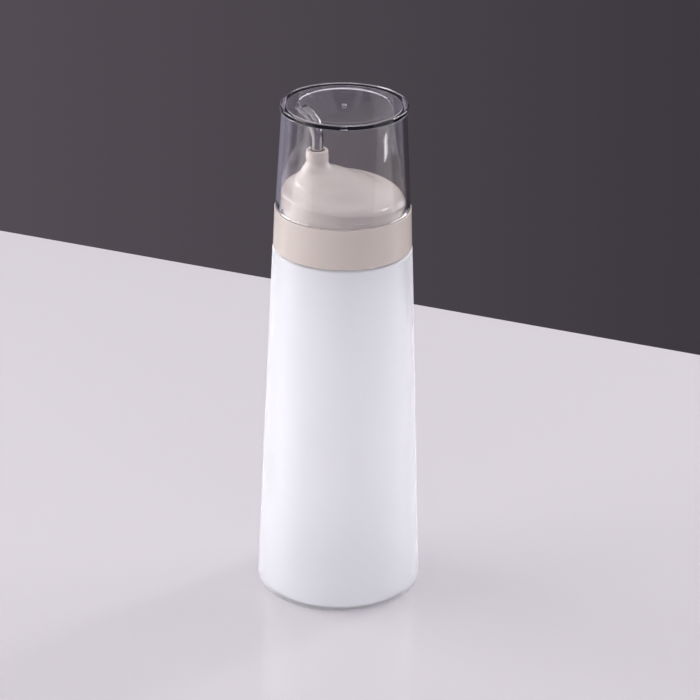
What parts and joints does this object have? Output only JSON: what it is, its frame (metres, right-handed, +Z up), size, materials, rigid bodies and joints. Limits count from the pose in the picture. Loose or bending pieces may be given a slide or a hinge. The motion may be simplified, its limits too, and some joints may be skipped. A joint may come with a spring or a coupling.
{
  "type": "dispensing sauce bottle",
  "caption": "Tapered frosted squeeze bottle with a screw collar, a domed head with an off-centre bent steel spout, and a clear push-on cover.",
  "frame": {"origin": "middle of the bottle's base, on the surface that it stands on", "axes": "+Z up along the bottle's axis; the spout's tower is off the axis towards -X, turned 14.2 degrees from -X towards +Y"},
  "size_m": [0.0658, 0.0658, 0.2062],
  "materials": {
    "frosted_plastic": "translucent, softly frosted",
    "beige_plastic": "satin moulded",
    "clear_plastic": "clear, polished",
    "spout_steel": "polished stainless steel",
    "white_silicone": "matt silicone"
  },
  "bodies": {
    "bottle_body": {"bottle": "frosted_plastic"},
    "head_unit": {"nozzle_head": "beige_plastic", "spout_tube": "spout_steel", "tube_seal": "white_silicone", "anti_drip_valve": "white_silicone", "valve_retainer": "beige_plastic", "neck_gasket": "white_silicone"},
    "collar_ring": {"collar": "beige_plastic"},
    "cover": {"clear_cover": "clear_plastic"}
  },
  "joints": [
    {"name": "head_rise", "type": "slide", "parent": "bottle_body", "child": "head_unit", "axis": [0, 0, 1], "range_m": [0, 0.0048]},
    {"name": "collar_turn", "type": "hinge", "parent": "head_unit", "child": "collar_ring", "pos_m": [0, 0, 0.1556], "axis": [0, 0, 1], "range_deg": [0, 432]},
    {"name": "cover_lift", "type": "slide", "parent": "head_unit", "child": "cover", "axis": [0, 0, 1], "range_m": [0, 0.045]}
  ],
  "couplings": [
    {"joint": "collar_turn", "follows": "head_rise", "rad_per_m": 1570.8}
  ]
}
